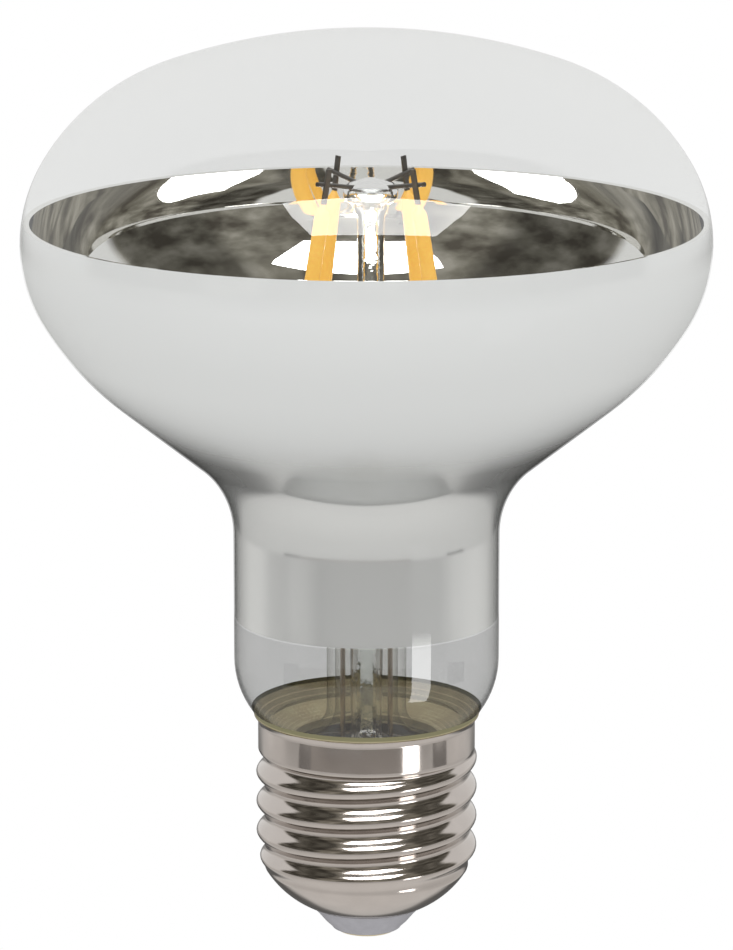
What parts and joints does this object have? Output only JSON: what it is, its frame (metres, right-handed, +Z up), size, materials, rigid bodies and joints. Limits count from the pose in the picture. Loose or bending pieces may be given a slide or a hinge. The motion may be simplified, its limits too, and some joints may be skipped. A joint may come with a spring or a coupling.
{
  "type": "reflector bulb",
  "caption": "Mirrored reflector lamp with a clear domed crown, straight filament strips on a glass stem, a plain neck and a screw cap.",
  "frame": {"origin": "centre of the outer face of the centre contact, at the bottom of the lamp", "axes": "+Z up the lamp's axis towards the crown, -Y towards the viewer of the picture, +X to the right in it"},
  "size_m": [0.08, 0.08, 0.1076],
  "materials": {
    "clear_glass": "polished",
    "mirror_layer": "polished",
    "stem_glass": "polished",
    "support_metal": "drawn",
    "phosphor": "satin",
    "seal_wire": "satin",
    "copper_wire": "polished",
    "sleeving": "matte",
    "nickel_shell": "polished",
    "cement": "matte",
    "insulator_grey": "matte",
    "contact_metal": "satin",
    "solder": "satin",
    "board_laminate": "satin",
    "can_metal": "satin",
    "ferrite": "matte",
    "moulded_package": "matte",
    "resistor_body": "matte"
  },
  "bodies": {
    "root": {"glass_bulb": "clear_glass", "mirror_coating": "mirror_layer", "stem_flare": "stem_glass", "exhaust_tube": "stem_glass", "stem_rod": "stem_glass", "top_wires": "support_metal", "upper_tabs": "support_metal", "lower_tabs": "support_metal", "lower_bars": "support_metal", "inner_leads": "support_metal", "filament_front_left": "phosphor", "filament_front_right": "phosphor", "filament_back_left": "phosphor", "filament_back_right": "phosphor", "dumet_seals": "seal_wire", "outer_leads": "copper_wire", "neutral_wire": "copper_wire", "inductor_winding": "copper_wire", "lead_sleeves": "sleeving", "fuse_sleeve": "sleeving", "screw_shell": "nickel_shell", "cap_cement": "cement", "insulator": "insulator_grey", "centre_contact": "contact_metal", "contact_solder": "solder", "driver_board": "board_laminate", "smoothing_capacitor": "can_metal", "inductor_core": "ferrite", "bridge_rectifier": "moulded_package", "driver_chip": "moulded_package", "chip_resistors": "resistor_body", "fuse_resistor": "resistor_body"}
  },
  "joints": []
}
